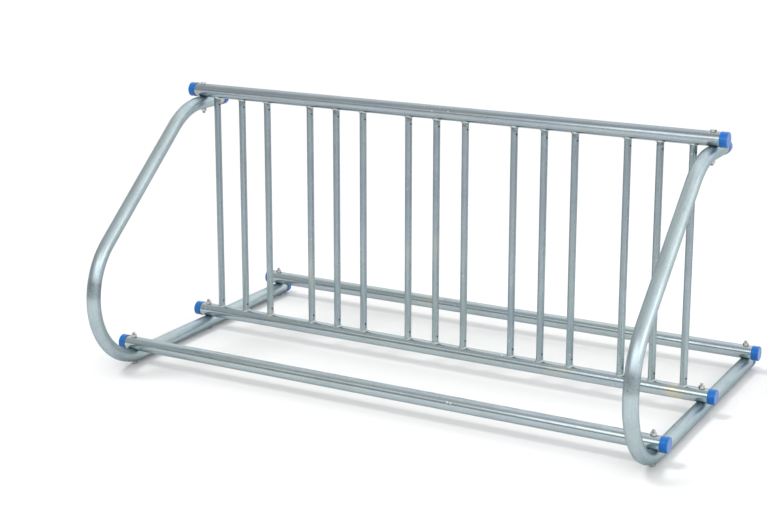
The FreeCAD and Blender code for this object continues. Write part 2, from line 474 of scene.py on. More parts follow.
@dataclass(frozen=True)
class ZincTube:
    """Zinc-coated tube: cool grey, softly bright, with streaks along its length."""

    name: str
    lie: Lie
    tint: Colour = (0.46, 0.535, 0.555)
    tarnish: Colour = (0.33, 0.40, 0.42)
    blush: Colour = (0.60, 0.58, 0.44)
    edge: Colour = (0.55, 0.60, 0.62)
    # Painted shade: near-black for the inside of the hollow bars and their vent holes.
    bore: Colour = (0.015, 0.017, 0.018)
    roughness: float = 0.27
    streaks: float = 0.35
    clouds: float = 0.35
    bump: float = 0.10 * MM
    spangle: float = 0.15
    weld_heights: tuple[float, ...] = ()
    stain: Colour = (0.62, 0.66, 0.64)
    stain_share: float = 0.55
    stain_rougher: float = 0.22
    stain_metallic: float = 0.55
    stain_reach: float = 24 * MM
    stain_core: float = 3.6 * MM
    stain_scale: float = 230.0
    stain_edge: Span = (0.54, 0.62)
    # Painted shadow: a mottled dark band on the bars just under the top rail.
    under_rail_shadow: Colour = (0.12, 0.15, 0.17)
    under_rail_shadow_share: float = 0.75
    under_rail_shadow_reach: float = 22 * MM
    under_rail_shadow_core: float = 5.5 * MM
    under_rail_shadow_scale: float = 110.0
    under_rail_shadow_edge: Span = (0.42, 0.56)
    # Painted shade: between these heights the colour goes from low_shade to high_shade, darker and bluer
    # upward.
    shade_heights: tuple[float, ...] = ()
    low_shade: Colour = (1.08, 1.08, 1.08)
    high_shade: Colour = (0.80, 0.79, 0.82)
    # Grip wear, darkened further as a painted dark reflection where the leg leaves the large bend.
    grip_and_reflection_marks: tuple[float, ...] = ()
    grip_and_reflection_grey: Colour = (0.15, 0.18, 0.19)
    grip_and_reflection_reach: float = 34 * MM
    grip_and_reflection_core: float = 12 * MM
    grip_and_reflection_scale: float = 200.0
    grip_and_reflection_edge: Span = (0.50, 0.66)
    grip_and_reflection_share: Span = (0.50, 0.85)
    warm_spots: tuple[Place, ...] = ()
    straw: Colour = (0.66, 0.55, 0.36)
    straw_share: float = 0.70
    warm_reach: float = 46 * MM
    warm_scale: float = 60.0
    warm_edge: Span = (0.30, 0.60)
    scuffs: tuple[Place, ...] = ()
    scuff_white: Colour = (0.74, 0.78, 0.80)
    scuff_reach: float = 6.5 * MM
    scuff_scale: float = 260.0
    scuff_edge: Span = (0.36, 0.58)
    scuff_cut: Span = (0.22, 0.42)

    def lengthwise(self, nodes: Nodes) -> Socket:
        """Coordinates whose first axis follows the tube.

        Args:
            nodes: the material's helper.

        Returns:
            The coordinates' socket.
        """
        if self.lie is Lie.ALONG_PATH:
            return nodes.add("ShaderNodeAttribute", attribute_name=self.lie.value).outputs["Vector"]
        place = nodes.place()
        if self.lie is Lie.ALONG_X:
            return place
        x, y, z = nodes.parts(place)
        return nodes.first("ShaderNodeCombineXYZ", {0: z, 1: x, 2: y})

    def weld_stain(self, nodes: Nodes) -> Socket:
        """Ragged pale stain and spatter beside each weld.

        Args:
            nodes: the material's helper.

        Returns:
            A mask's socket.
        """
        place = nodes.place()
        levels = nodes.apart(nodes.parts(place)[2], self.weld_heights)
        ragged = nodes.span(nodes.noise(place, self.stain_scale, 4.0, 0.7), *self.stain_edge)
        return nodes.math("MULTIPLY", nodes.near(levels, self.stain_reach, self.stain_core), ragged)

    def painted_under_rail_shadow(self, nodes: Nodes) -> Socket:
        """Painted shadow: dark mottled patches on the tube just under the highest weld, where the top rail
        shades it.

        Args:
            nodes: the material's helper.

        Returns:
            A mask's socket.
        """
        place = nodes.place()
        under = nodes.math("SUBTRACT", self.weld_heights[-1], nodes.parts(place)[2])
        patches = nodes.span(nodes.noise(place, self.under_rail_shadow_scale), *self.under_rail_shadow_edge)
        return nodes.math("MULTIPLY", nodes.span(under, self.under_rail_shadow_reach, self.under_rail_shadow_core), patches)

    def shaded_by_height(self, nodes: Nodes, colour: object) -> Socket:
        """Paints shade: the zinc turns darker and bluer from the lower of the shade heights up to the
        higher.

        Args:
            nodes: the material's helper.
            colour: the zinc's own colour.

        Returns:
            The socket of the colour with its painted shade.
        """
        share = nodes.span(nodes.parts(nodes.place())[2], *self.shade_heights)
        shade = nodes.mix(share, rgba(self.low_shade), rgba(self.high_shade))
        return nodes.mix(1.0, colour, shade, "MULTIPLY")

    def grip_wear_and_dark_reflection(self, nodes: Nodes) -> Socket:
        """Dull rings with dark specks that the bender's grip leaves at set distances along the tube; their
        darkness is also a painted reflection of a dark band there.

        Args:
            nodes: the material's helper.

        Returns:
            A mask's socket.
        """
        lie = self.lengthwise(nodes)
        apart = nodes.apart(nodes.parts(lie)[0], self.grip_and_reflection_marks)
        rings = nodes.near(apart, self.grip_and_reflection_reach, self.grip_and_reflection_core)
        ragged = nodes.span(nodes.noise(lie, self.grip_and_reflection_scale, 4.0, 0.7), *self.grip_and_reflection_edge, *self.grip_and_reflection_share)
        return nodes.math("MULTIPLY", rings, ragged)

    def warmth(self, nodes: Nodes) -> Socket:
        """Soft straw-coloured spots where the passivation is thicker.

        Args:
            nodes: the material's helper.

        Returns:
            A mask's socket.
        """
        place = nodes.place()
        spots = nodes.near(nodes.away(place, self.warm_spots), self.warm_reach, 0.0)
        ragged = nodes.span(nodes.noise(place, self.warm_scale), *self.warm_edge)
        return nodes.math("MULTIPLY", nodes.math("MULTIPLY", spots, ragged), self.straw_share)

    def scuffed(self, nodes: Nodes) -> Socket:
        """Small bright scuffs where something has rubbed the zinc.

        Args:
            nodes: the material's helper.

        Returns:
            A mask's socket.
        """
        place = nodes.place()
        spots = nodes.near(nodes.away(place, self.scuffs), self.scuff_reach, 0.0)
        ragged = nodes.span(nodes.noise(place, self.scuff_scale), *self.scuff_edge)
        return nodes.span(nodes.math("MULTIPLY", spots, ragged), *self.scuff_cut)

    def build(self, skin: Tree) -> Material:
        """Builds the material.

        Args:
            skin: the zinc_skin group.

        Returns:
            The material.
        """
        material, nodes, shader = start_material(self.name)
        coat = nodes.add("ShaderNodeGroup", {
            "Vector": self.lengthwise(nodes), "Tint": rgba(self.tint), "Tarnish": rgba(self.tarnish),
            "Blush": rgba(self.blush), "Roughness": self.roughness, "Streaks": self.streaks,
            "Clouds": self.clouds, "Spangle": self.spangle}, node_tree=skin).outputs
        colour, rough, metallic = coat["Color"], coat["Roughness"], 1.0
        # Grip wear, with a painted dark reflection.
        if self.grip_and_reflection_marks:
            colour = nodes.mix(self.grip_wear_and_dark_reflection(nodes), colour, rgba(self.grip_and_reflection_grey))
        if self.warm_spots:
            colour = nodes.mix(self.warmth(nodes), colour, rgba(self.straw))
        if self.scuffs:
            colour = nodes.mix(self.scuffed(nodes), colour, rgba(self.scuff_white))
        # Painted shade: the bars' insides and vent holes turn near-black by depth into the wall.
        hollow = nodes.add("ShaderNodeAttribute", attribute_name="hollow").outputs["Fac"]
        colour = nodes.mix(hollow, colour, rgba(self.bore))
        # Painted shade, darker and bluer toward the tops of the bars.
        if self.shade_heights:
            colour = self.shaded_by_height(nodes, colour)
        if self.weld_heights:
            # Painted shadow under the top rail, then the real pale stain beside the welds.
            under_rail_shadow, stain = self.painted_under_rail_shadow(nodes), self.weld_stain(nodes)
            colour = nodes.mix(nodes.math("MULTIPLY", under_rail_shadow, self.under_rail_shadow_share), colour, rgba(self.under_rail_shadow))
            colour = nodes.mix(nodes.math("MULTIPLY", stain, self.stain_share), colour, rgba(self.stain))
            rough = nodes.math("ADD", rough, nodes.math("MULTIPLY", stain, self.stain_rougher))
            metallic = nodes.span(stain, 0.0, 1.0, 1.0, self.stain_metallic)
        looks = {"Base Color": colour, "Roughness": rough, "Metallic": metallic,
                 "Specular Tint": rgba(self.edge)}
        finish_material(nodes, shader, looks, coat["Height"], self.bump)
        return material


@dataclass(frozen=True)
class HandledFinish:
    """A small part's finish, with scuffs, a film of dust and a fine texture."""

    name: str
    fresh: Colour
    worn: Colour
    roughness: float
    scale: float
    amount: float
    texture: float
    metallic: float = 1.0
    specular: float = 0.5

    def build(self, handling: Tree) -> Material:
        """Builds the material.

        Args:
            handling: the handling group.

        Returns:
            The material.
        """
        material, nodes, shader = start_material(self.name)
        film = nodes.add("ShaderNodeGroup", {
            "Color": rgba(self.fresh), "Scuffed": rgba(self.worn), "Scale": self.scale,
            "Amount": self.amount, "Roughness": self.roughness}, node_tree=handling).outputs
        looks = {"Base Color": film["Color"], "Roughness": film["Roughness"],
                 "Metallic": self.metallic, "Specular IOR Level": self.specular}
        finish_material(nodes, shader, looks, film["Height"], self.texture)
        return material


@dataclass(frozen=True)
class WeldMetal(HandledFinish):
    """The bead's own metal under the zinc: bright, with dull patches and scuffs."""

    name: str = "weld_metal"
    fresh: Colour = (0.62, 0.67, 0.66)
    worn: Colour = (0.30, 0.34, 0.34)
    roughness: float = 0.36
    scale: float = 3.0
    amount: float = 0.8
    texture: float = 0.12 * MM


@dataclass(frozen=True)
class PlatedHardware(HandledFinish):
    """Zinc-plated bolts and nuts, bright with rubbed spots."""

    name: str = "plated_hardware"
    fresh: Colour = (0.52, 0.53, 0.53)
    worn: Colour = (0.20, 0.20, 0.20)
    roughness: float = 0.08
    scale: float = 2.0
    amount: float = 0.6
    texture: float = 0.04 * MM


@dataclass(frozen=True)
class SoftVinyl(HandledFinish):
    """The push-on caps' flexible vinyl: saturated blue, semi-gloss, faintly uneven."""

    name: str = "soft_vinyl"
    fresh: Colour = (0.004, 0.112, 0.390)
    worn: Colour = (0.012, 0.140, 0.440)
    roughness: float = 0.16
    scale: float = 1.0
    amount: float = 0.6
    texture: float = 0.08 * MM
    metallic: float = 0.0
    specular: float = 0.38


@dataclass(frozen=True)
class StudioFloor:
    """A plain pale floor."""

    name: str = "studio_floor"
    colour: Colour = (0.70, 0.70, 0.70)
    roughness: float = 0.9
    specular: float = 0.1

    def build(self) -> Material:
        """Builds the material.

        Returns:
            The material.
        """
        material, nodes, shader = start_material(self.name)
        looks = {"Base Color": rgba(self.colour), "Roughness": self.roughness,
                 "Specular IOR Level": self.specular}
        for label, value in looks.items():
            nodes.feed(shader.inputs[label], value)
        return material


# ------------------------------------------------------------------ mesh helpers

def ring_mesh(name: str, rings: list[np.ndarray], closed: bool = False) -> Mesh:
    """Skins a row of rings that have the same number of points.

    Args:
        name: the mesh's name.
        rings: arrays of points, N by 3.  A ring of one point is a pole.
        closed: whether the last ring joins the first.

    Returns:
        A closed mesh with its faces outward.
    """
    shell = bmesh.new()
    rows = [[shell.verts.new(point) for point in ring] for ring in rings]
    pairs = list(zip(rows, rows[1:])) + ([(rows[-1], rows[0])] if closed else [])
    for low, high in pairs:
        count = max(len(low), len(high))
        for i in range(count):
            j = (i + 1) % count
            corners = [low[i % len(low)], low[j % len(low)], high[j % len(high)], high[i % len(high)]]
            shell.faces.new(list(dict.fromkeys(corners)))
    bmesh.ops.recalc_face_normals(shell, faces=shell.faces[:])
    mesh = bpy.data.meshes.new(name)
    shell.to_mesh(mesh)
    shell.free()
    return mesh


def circle(radius: float, z: float, sides: int) -> np.ndarray:
    """A level ring of points round the Z axis.

    Args:
        radius: its radius; nothing or less gives a pole of one point.
        z: its height.
        sides: how many points.

    Returns:
        The points, N by 3.
    """
    if radius <= 0:
        return np.array([[0.0, 0.0, z]])
    turn = np.arange(sides) * math.tau / sides
    return np.stack([radius * np.cos(turn), radius * np.sin(turn), np.full(sides, z)], axis=1)


def new_object(name: str, data: object) -> Thing:
    """Links a new object to the scene at the origin.

    Args:
        name: its name.
        data: its mesh or curve.

    Returns:
        The object.
    """
    made = bpy.data.objects.new(name, data)
    bpy.context.scene.collection.objects.link(made)
    return made


def finished_mesh(worker: Thing) -> Mesh:
    """Turns an object and its modifiers into a plain mesh, and removes the object.

    Args:
        worker: the object that carries the modifiers.

    Returns:
        The mesh.
    """
    bpy.context.view_layer.update()
    graph = bpy.context.evaluated_depsgraph_get()
    mesh = bpy.data.meshes.new_from_object(worker.evaluated_get(graph), depsgraph=graph)
    worker.modifiers.clear()
    bpy.data.objects.remove(worker)
    return mesh


def add_tree(worker: Thing, tree: Tree, values: dict) -> None:
    """Gives an object a Geometry Nodes modifier.

    Args:
        worker: the object.
        tree: the modifier's tree.
        values: input name to value; each is set by its socket's identifier.
    """
    modifier = worker.modifiers.new(tree.name, "NODES")
    modifier.node_group = tree
    sockets = {item.name: item.identifier for item in tree.interface.items_tree
               if item.item_type == "SOCKET" and item.in_out == "INPUT"}
    for label, value in values.items():
        modifier[sockets[label]] = value


def face_outward(mesh: Mesh) -> None:
    """Turns the faces outward after merging doubled points.

    Args:
        mesh: the mesh to mend.
    """
    shell = bmesh.new()
    shell.from_mesh(mesh)
    bmesh.ops.remove_doubles(shell, verts=shell.verts[:], dist=1e-7)
    bmesh.ops.recalc_face_normals(shell, faces=shell.faces[:])
    shell.to_mesh(mesh)
    shell.free()


def smooth(mesh: Mesh, sharp_from: float = 35.0) -> None:
    """Shades a mesh smooth, with its sharp edges kept.

    Args:
        mesh: the mesh.
        sharp_from: angle in degrees past which an edge stays sharp.
    """
    mesh.shade_smooth()
    mesh.set_sharp_from_angle(angle=math.radians(sharp_from))


def points_of(mesh: Mesh) -> np.ndarray:
    """Reads the mesh's points.

    Args:
        mesh: the mesh.

    Returns:
        The points, N by 3.
    """
    flat = np.zeros(len(mesh.vertices) * 3)
    mesh.vertices.foreach_get("co", flat)
    return flat.reshape(-1, 3)


def move_points(mesh: Mesh, points: np.ndarray) -> None:
    """Writes changed points back to the mesh.

    Args:
        mesh: the mesh.
        points: N by 3.
    """
    mesh.vertices.foreach_set("co", points.astype(np.float32).ravel())
    mesh.update()


def dress(mesh: Mesh, name: str, replaced: list[str]) -> Thing:
    """Makes a finished piece: rides on the body and stands for its nodes.

    Args:
        mesh: the finished mesh, with its material.
        name: the piece's name.
        replaced: the CAD nodes that the piece stands for.

    Returns:
        The piece.
    """
    mesh.name = name
    piece = new_object(name, mesh)
    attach(piece, BODY)
    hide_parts(*replaced)
    LOG.info("%s: %d faces, stands for %s", name, len(mesh.polygons), ", ".join(replaced))
    return piece


# ------------------------------------------------------------- geometry node trees

def swept_tube_tree() -> Tree:
    """Builds the tree that sweeps a round tube's skin along the object's own curve.

    It stores the attribute lie: distance along the tube, then the place on its girth.

    Returns:
        A Geometry Nodes tree.
    """
    tree, nodes, source, result = new_group(
        "swept_tube", "Geometry",
        {"Geometry": "Geometry", "Radius": "Float", "Sides": "Int", "Material": "Material"},
        {"Geometry": "Geometry"})
    length = nodes.add("GeometryNodeSplineParameter").outputs["Length"]
    path = nodes.stored(source.outputs["Geometry"], "along", length, "FLOAT")
    ring = nodes.first("GeometryNodeCurvePrimitiveCircle",
                       {"Resolution": source.outputs["Sides"], "Radius": source.outputs["Radius"]})
    ring = nodes.stored(ring, "girth", nodes.first("GeometryNodeInputPosition"))
    skin = nodes.first("GeometryNodeCurveToMesh", {"Curve": path, "Profile Curve": ring})
    girth = nodes.parts(nodes.named("girth"))
    lie = nodes.first("ShaderNodeCombineXYZ", {0: nodes.named("along", "FLOAT"), 1: girth[0], 2: girth[1]})
    skin = nodes.stored(skin, Lie.ALONG_PATH.value, lie)
    for spare in ("along", "girth"):
        skin = nodes.first("GeometryNodeRemoveAttribute", {"Geometry": skin, "Name": spare})
    nodes.finish(nodes.first("GeometryNodeRealizeInstances", {"Geometry": skin}), source, result)
    return tree


def placed_row_tree() -> Tree:
    """Builds the tree that sets a master piece on every point of the object's mesh.

    Each copy is turned by the point's attribute turn, then rolled at random on its own axis.

    Returns:
        A Geometry Nodes tree.
    """
    tree, nodes, source, result = new_group(
        "placed_row", "Geometry",
        {"Geometry": "Geometry", "Master": "Object", "Roll": "Float", "Seed": "Int",
         "Material": "Material"},
        {"Geometry": "Geometry"})
    master = nodes.add("GeometryNodeObjectInfo", {"Object": source.outputs["Master"]})
    copies = nodes.on_points(source, master.outputs["Geometry"])
    spin = nodes.first("FunctionNodeRandomValue",
                       {"Min": (0.0, 0.0, 0.0), "Max": (0.0, 0.0, 1.0), "Seed": source.outputs["Seed"]},
                       data_type="FLOAT_VECTOR")
    rolled = nodes.first("FunctionNodeEulerToRotation", {0: nodes.scaled(spin, source.outputs["Roll"])})
    copies = nodes.first("GeometryNodeRotateInstances",
                         {"Instances": copies, "Rotation": rolled, "Local Space": True})
    nodes.finish(nodes.first("GeometryNodeRealizeInstances", {"Geometry": copies}), source, result)
    return tree


@dataclass(frozen=True)
class BeadForm:
    """How a weld bead's rope of metal runs and ripples."""

    path_points: int = 150
    rope_sides: int = 14
    bury: float = 0.25
    thin: float = 0.88
    ripple: float = 0.16
    lump_scale: float = 210.0
    lump_detail: float = 2.0
    lump_size: float = 1.3

    def tree(self) -> Tree:
        """Builds the tree that lays a rippled bead round a bar at every point of the object's mesh.

        A point lies on the axis of the bar and of the rail, and its attribute turn is a half
        turn for a bead that hangs under its rail.

        Returns:
            A Geometry Nodes tree.
        """
        tree, nodes, source, result = new_group(
            "weld_bead", "Geometry",
            {"Geometry": "Geometry", "Bar Radius": "Float", "Rail Radius": "Float",
             "Bead Radius": "Float", "Ripples": "Float", "Seed": "Float", "Material": "Material"},
            {"Geometry": "Geometry"})
        given = source.outputs
        radius = given["Bead Radius"]
        proud = nodes.math("MULTIPLY", radius, self.bury)
        path = nodes.first("GeometryNodeCurvePrimitiveCircle",
                           {"Resolution": self.path_points,
                            "Radius": nodes.math("ADD", given["Bar Radius"], proud)})
        across = nodes.parts(nodes.first("GeometryNodeInputPosition"))[1]
        squared = nodes.math("SUBTRACT", nodes.math("POWER", given["Rail Radius"], 2.0),
                             nodes.math("POWER", across, 2.0))
        lift = nodes.math("ADD", nodes.math("SQRT", squared), proud)
        path = nodes.first("GeometryNodeSetPosition",
                           {"Geometry": path, "Offset": nodes.first("ShaderNodeCombineXYZ", {2: lift})})
        factor = nodes.first("GeometryNodeSplineParameter")
        swing = nodes.math("MULTIPLY", nodes.math("MULTIPLY", factor, given["Ripples"]), math.tau)
        ripple = nodes.math("MULTIPLY", nodes.math("ABSOLUTE", nodes.math("SINE", swing)), self.ripple)
        path = nodes.first("GeometryNodeSetCurveRadius",
                           {"Curve": path, "Radius": nodes.math("ADD", ripple, self.thin)})
        rope = nodes.first("GeometryNodeCurvePrimitiveCircle",
                           {"Resolution": self.rope_sides, "Radius": radius})
        bead = nodes.first("GeometryNodeCurveToMesh", {"Curve": path, "Profile Curve": rope})
        beads = nodes.first("GeometryNodeRealizeInstances", {"Geometry": nodes.on_points(source, bead)})
        lumps = nodes.add("ShaderNodeTexNoise",
                          {"Vector": nodes.first("GeometryNodeInputPosition"), "W": given["Seed"],
                           "Scale": self.lump_scale, "Detail": self.lump_detail},
                          noise_dimensions="4D").outputs[1]
        centred = nodes.first("ShaderNodeVectorMath", {0: lumps, 1: (0.5, 0.5, 0.5)}, operation="SUBTRACT")
        shove = nodes.scaled(centred, nodes.math("MULTIPLY", radius, self.lump_size))
        beads = nodes.first("GeometryNodeSetPosition", {"Geometry": beads, "Offset": shove})
        nodes.finish(beads, source, result)
        return tree


def point_cloud_mesh(name: str, places: list[Vector], turns: list[Euler]) -> Mesh:
    """A mesh of loose points that each carry a turn.

    Args:
        name: the mesh's name.
        places: the points.
        turns: a rotation for each.

    Returns:
        The mesh.
    """
    mesh = bpy.data.meshes.new(name)
    mesh.from_pydata([tuple(place) for place in places], [], [])
    turn = mesh.attributes.new("turn", "FLOAT_VECTOR", "POINT")
    turn.data.foreach_set("vector", [value for euler in turns for value in euler])
    return mesh


# ---------------------------------------------------------------- where things are

@cache
def node_box(node: str) -> tuple[Vector, Vector]:
    """A CAD node's lowest and highest corner.

    Args:
        node: its name.

    Returns:
        The two corners.
    """
    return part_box(node)


@dataclass(frozen=True)
class Layout:
    """The rack's places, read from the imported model's boxes."""

    tube_radius: float = 19.05 * MM
    tube_wall: float = 2.1 * MM
    seat_radius: float = 9.06 * MM
    rails: tuple[str, ...] = ("front_rail", "grid_bottom_rail", "rear_rail", "grid_top_rail")

    def axis(self, rail: str) -> tuple[float, float]:
        """Y and Z of a rail's axis.

        Args:
            rail: the rail's node.

        Returns:
            Y and Z.
        """
        low, high = node_box(rail)
        return (low.y + high.y) / 2, (low.z + high.z) / 2

    def seat(self, rail: str) -> float:
        """Height of the flat that a rail's nut or bolt head bears on.

        Args:
            rail: the rail's node.

        Returns:
            Z of the flat.
        """
        if rail == "grid_top_rail":
            return node_box("grid_top_rail_bolts")[1].z - PlatedBolts.head_height
        return node_box(rail + "_nuts")[0].z

    def beside(self, rail: str, x: float, front: float, up: float) -> Place:
        """A place near a rail's axis.

        Args:
            rail: the rail's node.
            x: how far along X.
            front: how far in front of the axis.
            up: how far over the axis.

        Returns:
            The place.
        """
        y, z = self.axis(rail)
        return x, y - front, z + up

    def frame_places(self) -> dict[str, float]:
        """Finds each end frame's plane.

        Returns:
            X of the plane, by the frame's side.
        """
        places = {}
        for side in ("left", "right"):
            low, high = node_box("end_frame_" + side)
            places[side] = (low.x + high.x) / 2
        return places


def press_round(points: np.ndarray, y: float, z: float, radius: float) -> None:
    """Presses points out of a rail that lies across them.

    Args:
        points: N by 3, changed in place.
        y: the rail's axis.
        z: the rail's axis.
        radius: the rail's radius.
    """
    away = points[:, 1:] - np.array([y, z])
    distance = np.linalg.norm(away, axis=1)
    inside = distance < radius
    points[inside, 1:] = np.array([y, z]) + away[inside] * (radius / distance[inside])[:, None]


def press_flat(points: np.ndarray, x: float, y: float, radius: float, plane: float, side: int) -> None:
    """Presses a round flat with a soft rim into the top or the underside of a tube.

    Args:
        points: N by 3, changed in place.
        x: the flat's centre.
        y: the flat's centre.
        radius: the flat's radius.
        plane: its height.
        side: 1 presses from above, -1 from below.
    """
    soft_rim = 1.6 * MM
    distance = np.hypot(points[:, 0] - x, points[:, 1] - y)
    share = np.clip((radius + soft_rim - distance) / soft_rim, 0, 1)
    share = share * share * (3 - 2 * share)
    over = (points[:, 2] - plane) * side
    hit = (over > 0) & (over < 4 * soft_rim)
    points[hit, 2] -= (share * over * side)[hit]


# ------------------------------------------------------------------ end frames

@dataclass
class EndFrame:
    """One bent tube: foot, large front bend, sloping leg, small bend and short stub."""

    side: str
    layout: Layout
    bend_radius: float = 199.0 * MM
    leg_angle: float = math.radians(40.5)
    cap_end: float = 2.0 * MM
    sides: int = 80
    fine_step: float = 1.3 * MM
    bend_step: float = 7.0 * MM
    straight_step: float = 45.0 * MM
    fine_reach: float = 15.0 * MM

    def stretches(self) -> list[tuple[float, float]]:
        """The tube's runs from the foot's open end to the stub's.

        Returns:
            Pairs of length and turn; a straight has no turn.
        """
        low, high = node_box("end_frame_" + self.side)
        radius = self.layout.tube_radius
        rise = high.z - low.z - 2 * radius
        leg = (rise - 2 * self.bend_radius) / math.sin(self.leg_angle)
        bend_start = low.y + radius + self.bend_radius
        stub_start = bend_start + leg * math.cos(self.leg_angle)
        stub_end = node_box("stub_caps")[1].y - self.cap_end
        first_turn = math.pi - self.leg_angle
        return [(high.y - bend_start, 0.0), (self.bend_radius * first_turn, first_turn), (leg, 0.0),
                (self.bend_radius * self.leg_angle, self.leg_angle), (stub_end - stub_start, 0.0)]

    def place(self, distance: float) -> Vector:
        """A point of the centreline.

        Args:
            distance: how far along the tube from the foot's end.

        Returns:
            The point.
        """
        low, high = node_box("end_frame_" + self.side)
        y, z, heading = high.y, low.z + self.layout.tube_radius, math.pi
        for length, turn in self.stretches():
            part = min(distance, length)
            if turn == 0:
                y, z = y + part * math.cos(heading), z + part * math.sin(heading)
            else:
                swept = turn * part / length
                radius = length / turn
                y += radius * (math.sin(heading) - math.sin(heading - swept))
                z += radius * (math.cos(heading - swept) - math.cos(heading))
                heading -= swept
            distance -= part
            if distance <= 0:
                break
        return Vector(((low.x + high.x) / 2, y, z))

    def centreline(self) -> list[Vector]:
        """Points of the centreline, close together in bends and closer under each rail.

        Returns:
            The points.
        """
        crossings = [self.layout.axis(rail) for rail in self.layout.rails]
        marks, end = [0.0], 0.0
        for length, turn in self.stretches():
            coarse = self.bend_step if turn else self.straight_step
            end += length
            while marks[-1] < end:
                here = self.place(marks[-1])
                away = min(math.hypot(here.y - y, here.z - z) for y, z in crossings)
                room = away - 2 * self.layout.tube_radius - self.fine_reach / 2
                step = min(max(self.fine_step, 0.6 * room), coarse)
                mark = marks[-1] + step
                marks.append(end if end - mark < 0.3 * step else mark)
        return [self.place(mark) for mark in marks]

    def build(self, tree: Tree, material: Material) -> Thing:
        """Sweeps the tube, presses its saddles and seats, and gives it its wall.

        Args:
            tree: the swept_tube tree.
            material: its finish.

        Returns:
            The piece.
        """
        mesh = sweep(self.centreline(), self.layout.tube_radius, self.sides, tree, material)
        points = points_of(mesh)
        x = self.layout.frame_places()[self.side]
        for rail in self.layout.rails:
            y, z = self.layout.axis(rail)
            press_round(points, y, z, self.layout.tube_radius)
            if rail == "grid_top_rail":
                press_flat(points, x, y, self.layout.seat_radius, node_box(rail + "_nuts")[1].z, -1)
            else:
                press_flat(points, x, y, self.layout.seat_radius, PlatedBolts.head_height, -1)
        move_points(mesh, points)
        mesh = with_wall(mesh, self.layout.tube_wall)
        smooth(mesh, 50.0)
        node = "end_frame_" + self.side
        return dress(mesh, node + "_tube", [node])


def sweep(path: list[Vector], radius: float, sides: int, tree: Tree,
          material: Material) -> Mesh:
    """Sweeps a tube's skin along a path with the swept_tube tree.

    Args:
        path: the centreline's points.
        radius: the tube's radius.
        sides: faces round the tube.
        tree: the swept_tube tree.
        material: its finish.

    Returns:
        The skin, open at both ends, with its faces outward.
    """
    curve = bpy.data.curves.new("centreline", "CURVE")
    curve.dimensions = "3D"
    spline = curve.splines.new("POLY")
    spline.points.add(len(path) - 1)
    spline.points.foreach_set("co", [value for point in path for value in (*point, 1.0)])
    worker = new_object("sweep", curve)
    add_tree(worker, tree, {"Radius": radius, "Sides": sides, "Material": material})
    mesh = finished_mesh(worker)
    face = mesh.polygons[0]
    middle = min(path, key=lambda point: (point - face.center).length)
    if face.normal.dot(face.center - middle) < 0:
        mesh.flip_normals()
    return mesh


def with_wall(mesh: Mesh, wall: float) -> Mesh:
    """Gives an open skin its wall thickness, inward, with closed rims.

    Args:
        mesh: the skin.
        wall: the thickness.

    Returns:
        A closed mesh.
    """
    worker = new_object("walled", mesh)
    solid = worker.modifiers.new("wall", "SOLIDIFY")
    solid.thickness = wall
    solid.offset = -1.0
    solid.use_rim = True
    return finished_mesh(worker)


# ------------------------------------------------------------------------ rails

@dataclass
class Rail:
    """One straight rail with a flat pressed in at each bolt."""

    node: str
    layout: Layout
    sides: int = 80
    fine_step: float = 1.3 * MM
    straight_step: float = 60.0 * MM
    fine_reach: float = 12.0 * MM

    def stations(self) -> list[float]:
        """Places of the rings along the rail, close together at each bolt.

        Returns:
            X of each ring.
        """
        low, high = node_box(self.node)
        bolts = self.layout.frame_places().values()
        marks, x = [low.x], low.x
        while x < high.x:
            room = min(abs(x - bolt) for bolt in bolts) - self.fine_reach
            x += min(max(self.fine_step, 0.5 * room), self.straight_step)
            marks.append(min(x, high.x))
        return marks

    def build(self, tree: Tree, material: Material) -> Thing:
        """Sweeps the rail, presses its seats and gives it its wall.

        Args:
            tree: the swept_tube tree.
            material: its finish.

        Returns:
            The piece.
        """
        y, z = self.layout.axis(self.node)
        path = [Vector((x, y, z)) for x in self.stations()]
        mesh = sweep(path, self.layout.tube_radius, self.sides, tree, material)
        points = points_of(mesh)
        for x in self.layout.frame_places().values():
            press_flat(points, x, y, self.layout.seat_radius, self.layout.seat(self.node), 1)
        move_points(mesh, points)
        mesh = with_wall(mesh, self.layout.tube_wall)
        smooth(mesh, 50.0)
        return dress(mesh, self.node + "_tube", [self.node])


# ------------------------------------------------------------------ the bar grid

